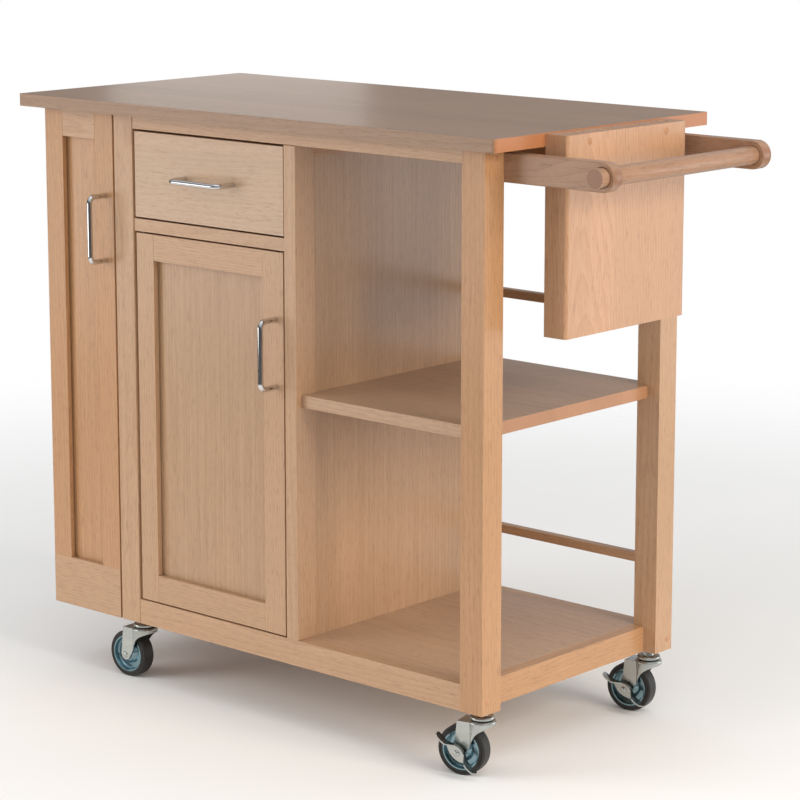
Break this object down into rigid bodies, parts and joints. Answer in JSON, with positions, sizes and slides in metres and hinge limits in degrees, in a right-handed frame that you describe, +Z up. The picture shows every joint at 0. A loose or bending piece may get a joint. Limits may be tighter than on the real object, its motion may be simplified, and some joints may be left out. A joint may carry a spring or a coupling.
{
  "type": "kitchen island cart",
  "caption": "Wooden kitchen island cart with a worktop, drawer, cupboard, pull-out rack, open shelves, knife block, towel bar and swivel casters.",
  "frame": {"origin": "middle of the bounding box, on the floor", "axes": "+X to the right end with the towel bar, +Y to the back, +Z up; the drawer, door and rack open towards -Y"},
  "size_m": [1.06, 0.475, 0.864],
  "materials": {
    "worktop_wood": "satin lacquer",
    "beech": "satin lacquer",
    "veneer": "satin lacquer",
    "dark_beech": "satin lacquer",
    "chrome": "polished",
    "zinc_steel": "bright zinc plate",
    "zinc_hub": "blue zinc plate",
    "tyre": "matte",
    "white_plastic": "matte"
  },
  "bodies": {
    "cart": {"worktop": "worktop_wood", "front_left_post": "beech", "rear_left_post": "beech", "front_right_post": "beech", "rear_right_post": "beech", "top_front_rail": "beech", "bottom_front_rail": "beech", "rear_rails": "beech", "side_rails": "beech", "mid_rail": "beech", "divider_stiles": "beech", "divider_panel": "veneer", "cabinet_side_panel": "veneer", "cabinet_back_panel": "veneer", "bottom_shelf": "veneer", "middle_shelf": "veneer", "cabinet_shelf": "veneer", "shelf_pins": "zinc_steel", "guard_rails": "beech", "rack_bay": "veneer", "knife_block": "beech", "front_towel_arm": "dark_beech", "rear_towel_arm": "dark_beech", "wood_plugs": "dark_beech", "slide_channels": "zinc_steel", "door_catch": "white_plastic", "caster_races": "zinc_steel"},
    "drawer": {"drawer_front": "beech", "drawer_box": "veneer", "drawer_bottom": "veneer", "drawer_handle": "chrome", "drawer_slide_runners": "zinc_steel"},
    "door": {"door_stiles": "beech", "door_rails": "beech", "door_panel": "veneer", "door_handle": "chrome", "door_pivots": "zinc_steel"},
    "rack": {"rack_stiles": "beech", "rack_front_rails": "beech", "rack_front_panel": "veneer", "rack_handle": "chrome", "rack_trays": "veneer", "rack_back": "veneer", "rack_guards": "dark_beech", "rack_slide_runner": "zinc_steel"},
    "towel_rod": {"towel_rod": "beech"},
    "front_left_caster": {"front_left_fork": "zinc_steel"},
    "front_left_wheel": {"front_left_hub": "zinc_hub", "front_left_tyre": "tyre"},
    "rear_left_caster": {"rear_left_fork": "zinc_steel"},
    "rear_left_wheel": {"rear_left_hub": "zinc_hub", "rear_left_tyre": "tyre"},
    "front_right_caster": {"front_right_fork": "zinc_steel"},
    "front_right_wheel": {"front_right_hub": "zinc_hub", "front_right_tyre": "tyre"},
    "front_right_brake": {"front_right_brake": "zinc_steel"},
    "rear_right_caster": {"rear_right_fork": "zinc_steel"},
    "rear_right_wheel": {"rear_right_hub": "zinc_hub", "rear_right_tyre": "tyre"},
    "rear_right_brake": {"rear_right_brake": "zinc_steel"}
  },
  "joints": [
    {"name": "drawer_slide", "type": "slide", "parent": "cart", "child": "drawer", "axis": [0, -1, 0], "range_m": [0, 0.3]},
    {"name": "door_hinge", "type": "hinge", "parent": "cart", "child": "door", "pos_m": [-0.296, -0.1925, 0.40425], "axis": [0, 0, -1], "range_deg": [0, 90]},
    {"name": "rack_slide", "type": "slide", "parent": "cart", "child": "rack", "axis": [0, -1, 0], "range_m": [0, 0.33]},
    {"name": "towel_rod_slide", "type": "slide", "parent": "cart", "child": "towel_rod", "axis": [0, -1, 0], "range_m": [0, 0.31]},
    {"name": "front_left_swivel", "type": "hinge", "parent": "cart", "child": "front_left_caster", "pos_m": [-0.32625, -0.17675, 0.088], "axis": [0, 0, 1], "continuous": true},
    {"name": "front_left_wheel_spin", "type": "hinge", "parent": "front_left_caster", "child": "front_left_wheel", "pos_m": [-0.35269, -0.1786, 0.035], "axis": [-0.0698, 0.9976, 0], "continuous": true},
    {"name": "rear_left_swivel", "type": "hinge", "parent": "cart", "child": "rear_left_caster", "pos_m": [-0.32625, 0.19175, 0.088], "axis": [0, 0, 1], "continuous": true},
    {"name": "rear_left_wheel_spin", "type": "hinge", "parent": "rear_left_caster", "child": "rear_left_wheel", "pos_m": [-0.35249, 0.18806, 0.035], "axis": [-0.1392, 0.9903, 0], "continuous": true},
    {"name": "front_right_swivel", "type": "hinge", "parent": "cart", "child": "front_right_caster", "pos_m": [0.33125, -0.17675, 0.088], "axis": [0, 0, 1], "continuous": true},
    {"name": "front_right_wheel_spin", "type": "hinge", "parent": "front_right_caster", "child": "front_right_wheel", "pos_m": [0.30554, -0.18316, 0.035], "axis": [-0.2419, 0.9703, 0], "continuous": true},
    {"name": "front_right_brake_rock", "type": "hinge", "parent": "front_right_caster", "child": "front_right_brake", "pos_m": [0.30554, -0.18316, 0.035], "axis": [0.2419, -0.9703, 0], "range_deg": [0, 20]},
    {"name": "rear_right_swivel", "type": "hinge", "parent": "cart", "child": "rear_right_caster", "pos_m": [0.33125, 0.19175, 0.088], "axis": [0, 0, 1], "continuous": true},
    {"name": "rear_right_wheel_spin", "type": "hinge", "parent": "rear_right_caster", "child": "rear_right_wheel", "pos_m": [0.30508, 0.1876, 0.035], "axis": [-0.1564, 0.9877, 0], "continuous": true},
    {"name": "rear_right_brake_rock", "type": "hinge", "parent": "rear_right_caster", "child": "rear_right_brake", "pos_m": [0.30508, 0.1876, 0.035], "axis": [0.1564, -0.9877, 0], "range_deg": [0, 20]}
  ]
}
